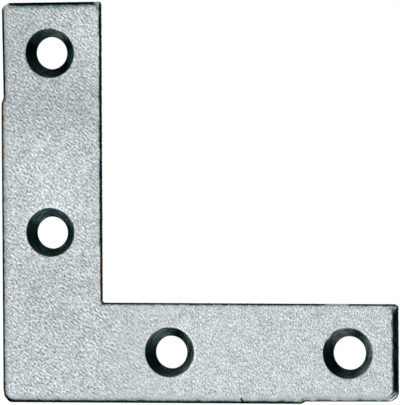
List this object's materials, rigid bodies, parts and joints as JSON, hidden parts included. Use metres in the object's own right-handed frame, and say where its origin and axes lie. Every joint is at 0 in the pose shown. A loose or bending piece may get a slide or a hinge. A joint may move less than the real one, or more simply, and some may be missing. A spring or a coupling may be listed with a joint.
{
  "type": "flat corner brace",
  "caption": "Flat L-shaped steel plate with countersunk screw holes along both arms, for joining members at a right angle.",
  "frame": {"origin": "on the plain underside's plane, under the middle of the 60 mm square that the two arms span", "axes": "+Z out of the countersunk face, the arms along +X and +Y from the heel, which is at -X and -Y"},
  "size_m": [0.06, 0.06, 0.002],
  "materials": {
    "zinc_plated_steel": "zinc plate with a fine ripple, darker on the cut edges and countersinks"
  },
  "bodies": {
    "root": {"brace": "zinc_plated_steel"}
  },
  "joints": []
}
